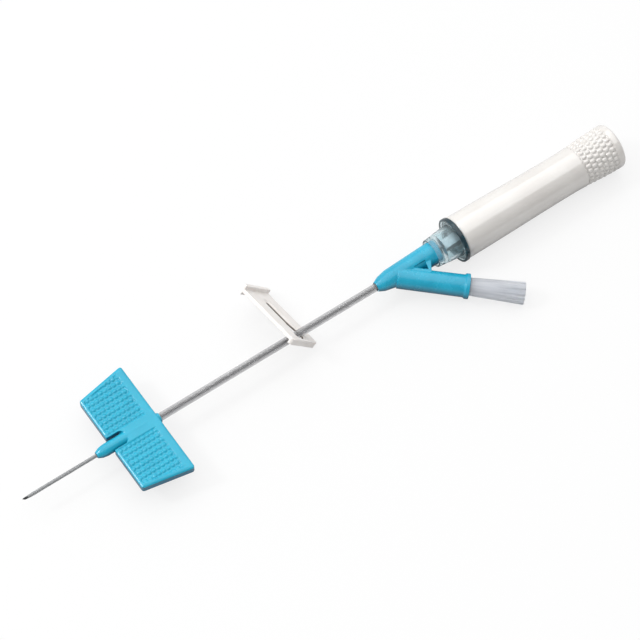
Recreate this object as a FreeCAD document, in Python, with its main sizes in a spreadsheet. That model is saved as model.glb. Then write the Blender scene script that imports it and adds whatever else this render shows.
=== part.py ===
# A closed intravenous cannula set, ready to use: a needle inside a soft catheter, a winged hub,
# a short extension tube with a slide clamp, a Y adapter with a vented side port, a clear needle
# shield on the main port and a white barrel to pull the needle out by.
# Millimetres. +X runs along the needle from its point to the barrel, +Z is up, and the origin is
# on the needle's axis at the front face of the winged hub.
import FreeCAD, Part
import os
import re

import Sketcher

Z_AXIS = FreeCAD.Vector(0, 0, 1)
HALF_ROUND = "half round"

# Driving dimensions, each set by itself: name, value, what it is.
DRIVING = [
    ("needle_diameter", 0.62, "outside of the steel needle"),
    ("needle_bore", 0.38, "inside of the steel needle"),
    ("needle_reach", 1.4, "needle point ahead of the catheter tip"),
    ("needle_play", 0.02, "radial clearance round the needle where it is guided"),
    ("bevel_length", 1.35, "length of the ground point"),
    ("bevel_roll", 57.0, "turn of the ground face about the needle, from straight up"),
    ("catheter_length", 19.0, "catheter outside the hub"),
    ("catheter_diameter", 0.9, "outside of the catheter"),
    ("catheter_taper", 1.2, "length of the tapered tip"),
    ("catheter_tip_wall", 0.04, "wall left at the very tip"),
    ("catheter_hold", 2.0, "straight length held in the hub"),
    ("flare_length", 1.6, "length over which the tail opens"),
    ("flare_rise", 0.35, "growth of the radius at the tail"),
    ("flare_tail", 0.8, "straight end of the tail"),
    ("wedge_inset", 0.5, "start of the steel wedge behind the start of the flare"),
    ("wedge_rim", 0.4, "length of the wedge's rim"),
    ("wedge_play", 0.05, "radial clearance of the needle in the wedge"),
    ("bond_gap", 0.02, "radial gap of a bonded or pressed joint"),
    ("hub_length", 17.9, "hub from nose to tail"),
    ("hub_nose_diameter", 1.6, "front face of the hub"),
    ("hub_brow", 1.2, "length of the blunt first taper"),
    ("hub_brow_diameter", 2.7, "hub at the end of the blunt taper"),
    ("hub_taper", 2.4, "nose taper in all"),
    ("hub_diameter", 3.1, "barrel of the hub"),
    ("hub_tail_start", 14.4, "start of the tail's taper"),
    ("hub_tail_diameter", 2.56, "tail of the hub"),
    ("hub_tube_depth", 8.5, "depth of the tube's seat in the hub"),
    ("wing_front", 4.0, "front edge of the wings behind the nose"),
    ("wing_chord", 13.3, "wings from front edge to back edge"),
    ("wing_front_span", 27.8, "span at the front edge"),
    ("wing_back_span", 32.8, "span at the back edge"),
    ("wing_thickness", 2.4, "thickness of the wings"),
    ("wing_top", 1.5, "top of the wings above the axis"),
    ("wing_corner", 0.7, "corner radius in plan"),
    ("wing_edge", 0.4, "rounding of the top edge"),
    ("notch_width", 3.7, "notch round the hub in the front edge"),
    ("notch_depth", 3.4, "depth of the notch's straight sides"),
    ("notch_crown", 1.2, "height of the notch's rounded foot"),
    ("tube_diameter", 2.0, "outside of the extension tube"),
    ("tube_bore", 1.2, "inside of the extension tube"),
    ("tube_free_length", 62.7, "tube between the hub and the adapter"),
    ("clamp_station", 57.3, "where the clamp's plate crosses the axis"),
    ("clamp_length", 19.5, "plate along its slot"),
    ("clamp_width", 12.9, "plate across its slot"),
    ("clamp_thickness", 0.9, "thickness of the plate"),
    ("clamp_corner", 0.9, "corner radius of the plate"),
    ("clamp_pitch", 55.0, "lean of the plate from lying flat"),
    ("clamp_yaw", 6.4, "turn of the plate about the vertical"),
    ("clamp_near_end", 2.95, "plate beyond the slot's wide end"),
    ("slot_wide", 3.5, "wide end of the slot"),
    ("slot_narrow", 1.3, "pinching end of the slot"),
    ("slot_length", 10.9, "wide end to narrow end, centre to centre"),
    ("slot_throat", 4.2, "wide end to the start of the pinching stretch"),
    ("slot_edge", 0.5, "thickness of the plate beside the slot"),
    ("slot_border", 0.9, "width of the thinned border"),
    ("lip_thickness", 1.1, "finger lip along the plate"),
    ("lip_rise", 1.0, "far lip above the plate"),
    ("lip_drop", 0.75, "both lips below the plate"),
    ("adapter_roll", 8.7, "roll of the adapter, so that the vent plug lies on the table"),
    ("adapter_nose_diameter", 2.5, "adapter where the tube goes in"),
    ("adapter_brow", 1.6, "length of the nose's first taper"),
    ("adapter_brow_diameter", 4.0, "adapter at the end of that taper"),
    ("adapter_neck", 4.0, "nose to the end of the second taper"),
    ("adapter_neck_diameter", 5.0, "adapter at the end of the second taper"),
    ("main_arm_length", 18.1, "nose to the mouth of the main port"),
    ("main_mouth_diameter", 6.1, "main arm at its mouth"),
    ("adapter_tube_depth", 3.6, "depth of the tube's seat in the adapter"),
    ("junction", 5.1, "nose to where the arms' axes meet"),
    ("side_angle", 40.0, "angle between the arms"),
    ("side_length", 18.8, "side arm from the meeting point to its mouth"),
    ("side_start", 1.1, "blunt start of the side arm past the meeting point"),
    ("side_start_diameter", 5.5, "side arm at its blunt start"),
    ("side_diameter", 5.7, "side arm at its rim"),
    ("rim_diameter", 6.35, "rim of the side port"),
    ("rim_width", 1.3, "length of the rim"),
    ("gusset_main", 11.0, "gusset along the main arm's axis"),
    ("gusset_side", 9.4, "gusset along the side arm's axis"),
    ("gusset_height", 4.5, "height of the gusset"),
    ("pocket_floor", 0.9, "floor left between the two pockets"),
    ("pocket_main", 1.2, "pocket's edge off the main arm's axis"),
    ("pocket_side", 2.25, "pocket's edge off the side arm's axis"),
    ("pocket_rib_head", 2.6, "rib past the pocket, along the main arm"),
    ("pocket_rib_foot", 1.0, "rib past the pocket, along the side arm"),
    ("port_mouth", 4.3, "mouth of each tapered port"),
    ("port_depth", 7.5, "depth of each tapered port"),
    ("port_cone", 0.06, "taper of the ports, on diameter"),
    ("channel", 1.2, "fluid channel inside the adapter"),
    ("septum_length", 2.6, "rubber seal along the axis"),
    ("septum_diameter", 3.7, "rubber seal"),
    ("plug_insert", 6.5, "plug inside the side port"),
    ("plug_play", 0.04, "radial clearance of a taper in its port"),
    ("plug_gap", 0.25, "gap between the rim and the plug's shoulder"),
    ("plug_grip", 13.4, "plug outside the port"),
    ("plug_neck_diameter", 4.46, "plug at its shoulder"),
    ("plug_end_diameter", 5.66, "plug at its outer end"),
    ("plug_bore", 2.4, "air space inside the plug"),
    ("plug_end_wall", 1.3, "end wall of the plug"),
    ("plug_vent", 0.9, "air hole in the end wall"),
    ("plug_step", 3.4, "depth of the narrow mouth of the air space"),
    ("plug_mouth", 1.8, "narrow mouth of the air space"),
    ("plug_flutes", 12, "flutes round the grip"),
    ("flute_phase", 0.3, "share of a flute's spacing by which the first is turned"),
    ("flute_diameter", 0.9, "width of one flute"),
    ("flute_sink", 0.1, "how far a flute's centre lies outside the plug's end"),
    ("filter_length", 2.0, "vent membrane and its support disc"),
    ("shield_overlap", 1.5, "clear collar over the main port"),
    ("shield_play", 0.2, "radial clearance of the collar on the port"),
    ("shield_wall", 0.45, "wall of the collar"),
    ("shield_gap", 0.35, "port's mouth to the shield's cross wall"),
    ("shield_web", 0.9, "cross wall of the shield"),
    ("collar_length", 6.1, "collar from its front edge to its rear"),
    ("collar_rear_diameter", 8.7, "collar at its rear"),
    ("flange_set_back", 6.5, "front edge of the collar to the flange"),
    ("flange_thickness", 1.1, "flange of the shield"),
    ("flange_diameter", 12.0, "flange of the shield"),
    ("spigot_length", 4.2, "spigot of the shield in the port, from the cross wall"),
    ("spigot_tip_diameter", 3.9, "tip of that spigot"),
    ("guide_length", 14.0, "shield behind its flange, inside the barrel"),
    ("guide_diameter", 8.4, "that stretch of the shield"),
    ("guide_bore", 6.8, "inside of the shield"),
    ("clip_width", 2.6, "steel clip across"),
    ("clip_strip", 0.25, "thickness of the clip's strip"),
    ("clip_length", 11.0, "length of the clip"),
    ("clip_root", 2.5, "arms off the axis at the clip's base"),
    ("clip_pinch", 0.6, "arms off the axis at their lips"),
    ("clip_lip", 1.1, "height of the lips"),
    ("clip_set_back", 0.6, "cross wall to the front of the clip"),
    ("clip_eye", 1.2, "hole for the needle in the clip's base"),
    ("barrel_gap", 0.1, "flange to the mouth of the barrel"),
    ("barrel_length", 48.0, "barrel from mouth to end"),
    ("barrel_mouth_diameter", 11.5, "barrel at its mouth"),
    ("barrel_waist", 32.6, "mouth to the narrowest place"),
    ("barrel_waist_diameter", 10.8, "barrel at the narrowest place"),
    ("barrel_tail", 2.8, "widest place to the end"),
    ("barrel_end_diameter", 12.0, "barrel at the widest place"),
    ("barrel_end_radius", 1.9, "rounding of the closed end"),
    ("barrel_bore", 9.6, "inside of the barrel"),
    ("barrel_end_wall", 2.2, "closed end"),
    ("barrel_lip", 0.3, "chamfer of the mouth"),
    ("anchor_station", 22.6, "mouth of the barrel to the front of the needle's hub"),
    ("anchor_length", 9.0, "needle's hub along the axis"),
    ("anchor_rim", 2.5, "its wide rear, pressed into the barrel"),
    ("anchor_neck_diameter", 5.2, "its body"),
    ("anchor_nose", 3.0, "its front taper"),
    ("anchor_nose_diameter", 2.4, "its front face"),
]

doc = FreeCAD.newDocument("winged_cannula")
sheet = doc.addObject("Spreadsheet::Sheet", "Sizes")
for row, (alias, number, meaning) in enumerate(DRIVING, start=1):
    sheet.set(f"A{row}", alias)
    sheet.set(f"B{row}", str(number))
    sheet.set(f"C{row}", meaning)
    sheet.setAlias(f"B{row}", alias)
doc.recompute()

ALIASES = {alias for alias, number, meaning in DRIVING}


def bound(formula):
    """The formula with each size's name pointing at its cell in the sheet."""
    def cell(word):
        name = word.group(0)
        return "Sizes." + name if name in ALIASES else name
    return re.sub(r"[a-z_]+", cell, formula)


def value(formula):
    """What the formula gives with the sheet's present numbers."""
    return float(sheet.evalExpression(bound(formula)))


# Stations along the axis, as formulas of the driving dimensions.
TIP = "(-catheter_length)"
TUBE_START = "(hub_length - hub_tube_depth)"
NOSE = "(hub_length + tube_free_length)"
PORT_MOUTH = f"({NOSE} + main_arm_length)"
SHIELD_FRONT = f"({PORT_MOUTH} - shield_overlap)"
FLANGE_REAR = f"({SHIELD_FRONT} + flange_set_back + flange_thickness)"
CROSS_WALL = f"({PORT_MOUTH} + shield_gap)"
BARREL_MOUTH = f"({FLANGE_REAR} + barrel_gap)"
NEEDLE_REAR = f"({BARREL_MOUTH} + anchor_station + anchor_length)"

# Radii that more than one piece uses.
NEEDLE_HOLE = "(needle_diameter / 2 + needle_play)"
FLARE_SLOPE = "(flare_rise / flare_length)"
TAIL_BORE = f"({NEEDLE_HOLE} + flare_rise)"
TAIL_RADIUS = "(catheter_diameter / 2 + flare_rise)"
PORT_SMALL = "(port_mouth / 2 - port_cone * port_depth / 2)"


def new_body(name):
    """An empty body, labelled with the name of the piece."""
    body = doc.addObject("PartDesign::Body", name)
    body.Label = name
    return body


def own_plane(body, role):
    """One of the planes or axes of the body's own origin."""
    return next(feature for feature in body.Origin.OriginFeatures if feature.Role == role)


def new_sketch(body, name, plane="XY_Plane", offset=None):
    """A sketch on one of the body's own planes."""
    sketch = body.newObject("Sketcher::SketchObject", name)
    sketch.AttachmentSupport = [(own_plane(body, plane), "")]
    sketch.MapMode = "FlatFace"
    if offset is not None:
        sketch.AttachmentOffset = offset
    return sketch


def fix_coordinate(sketch, edge, end, kind, formula):
    """Tie one coordinate of a point of an edge to a formula, or to the axis where it is nought.

    In a sketch -1 is the horizontal axis, -2 the vertical one, and point 1 of -1 is the origin.
    """
    if formula == "0":
        axis = -1 if kind == "DistanceY" else -2
        sketch.addConstraint(Sketcher.Constraint("PointOnObject", edge, end, axis))
        return
    index = sketch.addConstraint(Sketcher.Constraint(kind, -1, 1, edge, end, value(formula)))
    sketch.setExpression(f"Constraints[{index}]", bound(formula))


def fix_level(sketch, edge, end, formula):
    """Tie the height of a point of an edge."""
    fix_coordinate(sketch, edge, end, "DistanceY", formula)


def fix_point(sketch, edge, end, x_formula, y_formula):
    """Tie a point of an edge to its place."""
    fix_coordinate(sketch, edge, end, "DistanceX", x_formula)
    fix_level(sketch, edge, end, y_formula)


def draw_outline(sketch, corners):
    """A closed outline through the corners, each (x, y) or (x, y, bulge) in formulas.

    A bulge is the height of the arc that runs from that corner to the next, to the left of the way.
    HALF_ROUND in its place is a half circle to the right, between two corners level with each other.
    """
    points = [FreeCAD.Vector(value(corner[0]), value(corner[1]), 0) for corner in corners]
    count = len(corners)
    for here, corner in enumerate(corners):
        start = points[here]
        end = points[(here + 1) % count]
        if len(corner) == 2:
            sketch.addGeometry(Part.LineSegment(start, end), False)
            continue
        side = Z_AXIS.cross(end - start).normalize()
        height = -start.distanceToPoint(end) / 2 if corner[2] == HALF_ROUND else value(corner[2])
        middle = (start + end) * 0.5 + side * height
        sketch.addGeometry(Part.Arc(start, middle, end), False)
    ends = [arc_ends(sketch.Geometry[edge], points[edge]) for edge in range(count)]
    for edge in range(count):
        after = (edge + 1) % count
        sketch.addConstraint(
            Sketcher.Constraint("Coincident", edge, ends[edge][1], after, ends[after][0])
        )
    for edge, corner in enumerate(corners):
        fix_point(sketch, edge, ends[edge][0], corner[0], corner[1])
        if HALF_ROUND in corner:
            fix_level(sketch, edge, 3, corner[1])
        elif len(corner) == 3:
            following = corners[(edge + 1) % count]
            chord = f"(({following[0]} - ({corner[0]}))^2 + ({following[1]} - ({corner[1]}))^2)"
            height = f"abs({corner[2]})"
            radius = f"{height} / 2 + {chord} / (8 * {height})"
            index = sketch.addConstraint(Sketcher.Constraint("Radius", edge, value(radius)))
            sketch.setExpression(f"Constraints[{index}]", bound(radius))
    return sketch


def arc_ends(edge, first_point):
    """Which end of an edge comes first on the way round: an arc may have been turned about."""
    if edge.StartPoint.distanceToPoint(first_point) < edge.EndPoint.distanceToPoint(first_point):
        return (1, 2)
    return (2, 1)


def draw_circle(sketch, x_formula, y_formula, diameter):
    """A circle with its centre and diameter tied to formulas."""
    centre = FreeCAD.Vector(value(x_formula), value(y_formula), 0)
    edge = sketch.addGeometry(Part.Circle(centre, Z_AXIS, value(diameter) / 2), False)
    fix_point(sketch, edge, 3, x_formula, y_formula)
    index = sketch.addConstraint(Sketcher.Constraint("Diameter", edge, value(diameter)))
    sketch.setExpression(f"Constraints[{index}]", bound(diameter))
    return sketch


def turned(body, name, corners, kind="Revolution", offset=None):
    """A profile turned once round the sketch's own horizontal axis, as metal added or cut away."""
    sketch = draw_outline(new_sketch(body, name + "_profile", offset=offset), corners)
    feature = body.newObject("PartDesign::" + kind, name)
    feature.Profile = sketch
    feature.ReferenceAxis = (sketch, ["H_Axis"])
    feature.Angle = 360
    doc.recompute()
    return feature


def extruded(body, name, sketch, length, kind="Pad", backwards=False, midplane=False):
    """A sketch made solid, or cut away, over a length given by a formula."""
    feature = body.newObject("PartDesign::" + kind, name)
    feature.Profile = sketch
    feature.setExpression("Length", bound(length))
    feature.Reversed = backwards
    feature.Midplane = midplane
    doc.recompute()
    return feature


def rounded(body, name, base, radius, wanted):
    """A fillet on those edges of the last feature that the test picks."""
    edges = [f"Edge{number}" for number, edge in enumerate(base.Shape.Edges, start=1) if wanted(edge)]
    feature = body.newObject("PartDesign::Fillet", name)
    feature.Base = (base, edges)
    feature.setExpression("Radius", bound(radius))
    doc.recompute()
    return feature


def tube_profile(stations):
    """Corners of a turned wall from (x, outer, inner) rows, out along the outside and back inside."""
    outside = [(x, outer) for x, outer, inner in stations]
    inside = [(x, inner) for x, outer, inner in reversed(stations)]
    return outside + inside


def on_axis(body, station):
    """Set the piece down with its own origin at a station on the needle's axis."""
    body.setExpression("Placement.Base.x", bound(station))
    return body


def make_needle():
    """One steel tube from the ground point to its hub in the barrel."""
    body = new_body("needle")
    length = f"{NEEDLE_REAR} + catheter_length + needle_reach"
    rows = [("0", "needle_diameter / 2", "needle_bore / 2"),
            (length, "needle_diameter / 2", "needle_bore / 2")]
    tube = turned(body, "needle_tube", tube_profile(rows))
    grind = new_sketch(body, "grind_profile", "XZ_Plane")
    draw_outline(grind, [("-bevel_length", "-needle_diameter / 2"), ("0", "-needle_diameter / 2"),
                         ("bevel_length", "needle_diameter / 2"), ("bevel_length", "needle_diameter"),
                         ("-bevel_length", "needle_diameter")])
    extruded(body, "ground_point", grind, "needle_diameter * 2", kind="Pocket", midplane=True)
    if body.Shape.Volume > tube.Shape.Volume:
        raise RuntimeError("the ground point removed nothing")
    body.setExpression("Placement.Rotation.Roll", bound("bevel_roll"))
    return on_axis(body, f"{TIP} - needle_reach")


def make_catheter():
    """Soft tube over the needle, thinned at its tip and opened at its tail."""
    body = new_body("catheter_tube")
    held = "catheter_length + catheter_hold"
    flared = f"{held} + flare_length"
    rows = [
        ("0", f"{NEEDLE_HOLE} + catheter_tip_wall", NEEDLE_HOLE),
        ("catheter_taper", "catheter_diameter / 2", NEEDLE_HOLE),
        (held, "catheter_diameter / 2", NEEDLE_HOLE),
        (flared, TAIL_RADIUS, TAIL_BORE),
        (f"{flared} + flare_tail", TAIL_RADIUS, TAIL_BORE),
    ]
    turned(body, "catheter_wall", tube_profile(rows))
    return on_axis(body, TIP)


def make_wedge():
    """Steel funnel that opens the catheter's tail and holds it in the hub."""
    body = new_body("catheter_wedge")
    bore = "needle_diameter / 2 + wedge_play"
    cone = "(flare_length - wedge_inset)"
    rim = f"({cone} + flare_tail + bond_gap)"
    turned(body, "wedge_funnel", [
        ("0", bore), ("0", f"{NEEDLE_HOLE} + {FLARE_SLOPE} * wedge_inset - bond_gap"),
        (cone, f"{TAIL_BORE} - bond_gap"), (rim, f"{TAIL_BORE} - bond_gap"), (rim, TAIL_RADIUS),
        (f"{rim} + wedge_rim", TAIL_RADIUS), (f"{rim} + wedge_rim", bore),
    ])
    return on_axis(body, "catheter_hold + wedge_inset")


def make_hub():
    """Winged hub, one soft moulding: a slim body with a pair of flat wings behind a front notch."""
    body = new_body("wing_hub")
    turned(body, "hub_body", [
        ("0", "0"), ("0", "hub_nose_diameter / 2"), ("hub_brow", "hub_brow_diameter / 2"),
        ("hub_taper", "hub_diameter / 2"), ("hub_tail_start", "hub_diameter / 2"),
        ("hub_length", "hub_tail_diameter / 2"), ("hub_length", "0"),
    ])
    level = FreeCAD.Placement(FreeCAD.Vector(0, 0, value("wing_top")), FreeCAD.Rotation())
    plan = new_sketch(body, "wing_plan", offset=level)
    plan.setExpression("AttachmentOffset.Base.z", bound("wing_top"))
    back = "wing_front + wing_chord"
    notch = "wing_front + notch_depth"
    draw_outline(plan, [
        ("wing_front", "notch_width / 2"), ("wing_front", "wing_front_span / 2"),
        (back, "wing_back_span / 2"), (back, "-wing_back_span / 2"),
        ("wing_front", "-wing_front_span / 2"), ("wing_front", "-notch_width / 2"),
        (notch, "-notch_width / 2", "-notch_crown"), (notch, "notch_width / 2"),
    ])
    wings = extruded(body, "wing_plate", plan, "wing_thickness", backwards=True)
    wings = rounded(body, "wing_corners", wings, "wing_corner", is_wing_corner)
    rounded(body, "wing_top_edge", wings, "wing_edge", is_wing_top_edge)
    flare_end = "catheter_hold + flare_length"
    wide = f"{TAIL_RADIUS} + bond_gap"
    narrow = "catheter_diameter / 2 + bond_gap"
    turned(body, "hub_bore", [
        ("0", "0"), ("0", narrow), ("catheter_hold", narrow), (flare_end, wide),
        (TUBE_START, wide), (TUBE_START, "tube_diameter / 2 + bond_gap"),
        ("hub_length", "tube_diameter / 2 + bond_gap"), ("hub_length", "0"),
    ], kind="Groove")
    return body


def upright(edge):
    """Whether an edge is a straight line along Z."""
    if not isinstance(edge.Curve, Part.Line):
        return False
    return abs(edge.tangentAt(edge.FirstParameter).z) > 0.999


def is_wing_corner(edge):
    """The upright edges at the four outer corners of the wings."""
    return upright(edge) and abs(edge.CenterOfMass.y) > value("notch_width")


def is_wing_top_edge(edge):
    """The outline of the wings' top face, apart from the notch and the hub."""
    box = edge.BoundBox
    top = value("wing_top")
    on_top = abs(box.ZMin - top) < 0.01 and abs(box.ZMax - top) < 0.01
    outside_hub = abs(edge.CenterOfMass.y) > value("hub_diameter")
    along_back = abs(box.XMin - value("wing_front + wing_chord")) < 0.01
    return on_top and (outside_hub or along_back)


def make_tube():
    """Clear extension tube, held straight by the needle inside it."""
    body = new_body("extension_tube")
    length = "hub_tube_depth + tube_free_length + adapter_tube_depth"
    rows = [("bond_gap", "tube_diameter / 2", "tube_bore / 2"),
            (f"{length} - bond_gap", "tube_diameter / 2", "tube_bore / 2")]
    turned(body, "tube_wall", tube_profile(rows))
    return on_axis(body, TUBE_START)


def slot_corners(border):
    """Keyhole outline: a round wide end, a tapered throat and a narrow stretch with a round end."""
    wide = f"(slot_wide / 2 + {border})"
    narrow = f"(slot_narrow / 2 + {border})"
    return [
        (wide, "0"), (narrow, "slot_throat"), (narrow, "slot_length", HALF_ROUND),
        (f"-{narrow}", "slot_length"), (f"-{narrow}", "slot_throat"), (f"-{wide}", "0", HALF_ROUND),
    ]


def make_clamp():
    """Slide clamp: a leaning plate with a keyhole slot and a finger lip at each end."""
    body = new_body("slide_clamp")
    near = "(-clamp_near_end)"
    far = "(clamp_length - clamp_near_end)"
    half = "(clamp_width / 2)"
    plan = new_sketch(body, "plate_plan")
    draw_outline(plan, [(f"-{half}", near), (half, near), (half, far), (f"-{half}", far)])
    plate = extruded(body, "plate", plan, "clamp_thickness", midplane=True)
    for name, start, end, top in (
        ("far_lip", f"{far} - lip_thickness", far, "clamp_thickness / 2 + lip_rise"),
        ("near_lip", near, f"{near} + lip_thickness", "clamp_thickness / 2"),
    ):
        lip = new_sketch(body, name + "_section", "YZ_Plane")
        floor = "(-clamp_thickness / 2 - lip_drop)"
        draw_outline(lip, [(start, floor), (end, floor), (end, top), (start, top)])
        plate = extruded(body, name, lip, "clamp_width", midplane=True)
    rounded(body, "plate_corners", plate, "clamp_corner", is_clamp_corner)
    through = "(clamp_thickness + lip_drop) * 2"
    extruded(body, "slot", draw_outline(new_sketch(body, "slot_plan"), slot_corners("0")), through,
             kind="Pocket", midplane=True)
    for name, side in (("upper_border", 1), ("lower_border", -1)):
        plan = new_sketch(body, name + "_plan")
        plan.setExpression("AttachmentOffset.Base.z", bound(f"{side} * slot_edge / 2"))
        draw_outline(plan, slot_corners("slot_border"))
        extruded(body, name, plan, "(clamp_thickness - slot_edge) / 2 + lip_rise", kind="Pocket",
                 backwards=side > 0)
    body.setExpression("Placement.Rotation.Yaw", bound("clamp_yaw"))
    body.setExpression("Placement.Rotation.Pitch", bound("clamp_pitch"))
    return on_axis(body, "clamp_station")


def is_clamp_corner(edge):
    """The upright edges at the plate's outer corners."""
    middle = edge.CenterOfMass
    on_side = abs(abs(middle.x) - value("clamp_width / 2")) < 0.01
    near = abs(middle.y + value("clamp_near_end")) < 0.01
    far = abs(middle.y - value("clamp_length - clamp_near_end")) < 0.01
    return upright(edge) and on_side and (near or far)


def side_arm_frame():
    """Place of the side arm's own axis in the adapter: turned about the arms' meeting point."""
    turn = FreeCAD.Rotation(Z_AXIS, -value("side_angle"))
    return FreeCAD.Placement(FreeCAD.Vector(value("junction"), 0, 0), turn)


def beside(along, off):
    """A point of the adapter's plane given along the side arm's axis and off it, to the main arm."""
    x_formula = f"(junction + {along} * cos(side_angle) + {off} * sin(side_angle))"
    y_formula = f"(-{along} * sin(side_angle) + {off} * cos(side_angle))"
    return (x_formula, y_formula)


def make_adapter():
    """Y adapter, one moulding: a tapered nose, two ported arms and a pocketed gusset between them."""
    body = new_body("y_adapter")
    turned(body, "main_arm", [
        ("0", "0"), ("0", "adapter_nose_diameter / 2"), ("adapter_brow", "adapter_brow_diameter / 2"),
        ("adapter_neck", "adapter_neck_diameter / 2"), ("main_arm_length", "main_mouth_diameter / 2"),
        ("main_arm_length", "0"),
    ])
    rim_start = "side_length - rim_width"
    turned(body, "side_arm", [
        ("side_start", "0"), ("side_start", "side_start_diameter / 2"), (rim_start, "side_diameter / 2"),
        (f"{rim_start} + (rim_diameter - side_diameter) / 2", "rim_diameter / 2"),
        ("side_length", "rim_diameter / 2"), ("side_length", "0"),
    ], offset=side_arm_frame())
    gusset = new_sketch(body, "gusset_plan")
    draw_outline(gusset, [("junction", "0"), beside("gusset_side", "0"), ("junction + gusset_main", "0")])
    extruded(body, "gusset", gusset, "gusset_height", midplane=True)
    crossing = "(pocket_side + pocket_main * cos(side_angle)) / sin(side_angle)"
    pocket_tip = (f"(junction + {crossing})", "-pocket_main")
    pocket_heel = ("(junction + gusset_main - pocket_rib_head)", "-pocket_main")
    pocket_toe = beside("(gusset_side - pocket_rib_foot)", "pocket_side")
    for name, side in (("upper_pocket", 1), ("lower_pocket", -1)):
        plan = new_sketch(body, name + "_plan")
        plan.setExpression("AttachmentOffset.Base.z", bound(f"{side} * pocket_floor / 2"))
        draw_outline(plan, [pocket_tip, pocket_toe, pocket_heel])
        extruded(body, name, plan, "main_mouth_diameter", kind="Pocket", backwards=side > 0)
    turned(body, "tube_seat", [
        ("0", "0"), ("0", "tube_diameter / 2 + bond_gap"),
        ("adapter_tube_depth", "tube_diameter / 2 + bond_gap"), ("adapter_tube_depth", "channel / 2"),
        ("junction + channel", "channel / 2"), ("junction + channel", "0"),
    ], kind="Groove")
    seat = "main_arm_length - port_depth - septum_length"
    seat_radius = "septum_diameter / 2 + bond_gap"
    turned(body, "main_port", [
        ("junction", "0"), ("junction", "channel / 2"), (seat, "channel / 2"), (seat, seat_radius),
        ("main_arm_length - port_depth", seat_radius), ("main_arm_length - port_depth", PORT_SMALL),
        ("main_arm_length", "port_mouth / 2"), ("main_arm_length", "0"),
    ], kind="Groove")
    turned(body, "side_port", [
        ("0", "0"), ("0", "channel / 2"), ("side_length - port_depth", "channel / 2"),
        ("side_length - port_depth", PORT_SMALL), ("side_length", "port_mouth / 2"), ("side_length", "0"),
    ], kind="Groove", offset=side_arm_frame())
    body.setExpression("Placement.Rotation.Roll", bound("adapter_roll"))
    return on_axis(body, NOSE)


def make_septum():
    """Rubber seal at the foot of the main port, which the needle passes through."""
    body = new_body("port_septum")
    rows = [("0", "septum_diameter / 2", NEEDLE_HOLE), ("septum_length", "septum_diameter / 2", NEEDLE_HOLE)]
    turned(body, "seal", tube_profile(rows))
    return on_axis(body, f"{PORT_MOUTH} - port_depth - septum_length")


def side_port_frame(adapter):
    """Place at the side port's mouth, with X pointing out of the port."""
    mouth = FreeCAD.Placement(FreeCAD.Vector(value("side_length"), 0, 0), FreeCAD.Rotation())
    return adapter.Placement.multiply(side_arm_frame()).multiply(mouth)


def make_plug(adapter):
    """Vent plug of the side port: a taper in the port and a fluted hollow grip outside it."""
    body = new_body("vent_plug")
    inner = "(-plug_insert)"
    cone = "port_mouth / 2 - plug_play"
    air_end = "plug_gap + plug_grip - plug_end_wall"
    end = "(plug_gap + plug_grip)"
    grip = turned(body, "plug_body", [
        (inner, "plug_mouth / 2"), (inner, f"{cone} - port_cone * plug_insert / 2"),
        ("plug_gap", f"{cone} + port_cone * plug_gap / 2"), ("plug_gap", "plug_neck_diameter / 2"),
        (end, "plug_end_diameter / 2"), (end, "plug_vent / 2"), (air_end, "plug_vent / 2"),
        (air_end, "plug_bore / 2"), (f"{inner} + plug_step", "plug_bore / 2"),
        (f"{inner} + plug_step", "plug_mouth / 2"),
    ])
    plan = new_sketch(body, "flute_plan", "YZ_Plane")
    plan.setExpression("AttachmentOffset.Base.z", bound(end))
    for flute in range(int(value("plug_flutes"))):
        turn = f"(360 * ({flute} + flute_phase) / plug_flutes)"
        reach = "(plug_end_diameter / 2 + flute_sink)"
        draw_circle(plan, f"{reach} * cos({turn})", f"{reach} * sin({turn})", "flute_diameter")
    extruded(body, "flutes", plan, "plug_grip", kind="Pocket")
    if body.Shape.Volume >= grip.Shape.Volume:
        raise RuntimeError("the flutes cut nothing")
    body.Placement = side_port_frame(adapter)
    return body


def make_filter(plug):
    """Porous vent disc inside the plug: it lets air out and stops liquid."""
    body = new_body("vent_filter")
    turned(body, "disc", [
        ("0", "0"), ("0", "plug_bore / 2 - bond_gap"), ("filter_length", "plug_bore / 2 - bond_gap"),
        ("filter_length", "0"),
    ])
    seat = FreeCAD.Placement(FreeCAD.Vector(value("plug_step - plug_insert"), 0, 0), FreeCAD.Rotation())
    body.Placement = plug.Placement.multiply(seat)
    return body


def make_shield():
    """Clear needle shield: collar on the port, flange at the barrel's mouth and guide inside it."""
    body = new_body("inner_shield")
    mouth_radius = "main_mouth_diameter / 2"
    collar_bore = f"{mouth_radius} + shield_play"
    wall_front = "(shield_overlap + shield_gap)"
    wall_rear = f"({wall_front} + shield_web)"
    spigot_root = "port_mouth / 2 - plug_play"
    flange = "flange_set_back"
    flange_rear = "(flange_set_back + flange_thickness)"
    rear = f"({flange_rear} + guide_length)"
    turned(body, "shield_wall", [
        (f"{wall_front} - spigot_length", NEEDLE_HOLE),
        (f"{wall_front} - spigot_length", "spigot_tip_diameter / 2"),
        ("shield_overlap", spigot_root), (wall_front, spigot_root), (wall_front, collar_bore),
        ("0", collar_bore), ("0", f"{collar_bore} + shield_wall"),
        ("collar_length", "collar_rear_diameter / 2"), (flange, "collar_rear_diameter / 2"),
        (flange, "flange_diameter / 2"), (flange_rear, "flange_diameter / 2"),
        (flange_rear, "guide_diameter / 2"), (rear, "guide_diameter / 2"), (rear, "guide_bore / 2"),
        (wall_rear, "guide_bore / 2"), (wall_rear, NEEDLE_HOLE),
    ])
    return on_axis(body, SHIELD_FRONT)


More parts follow.
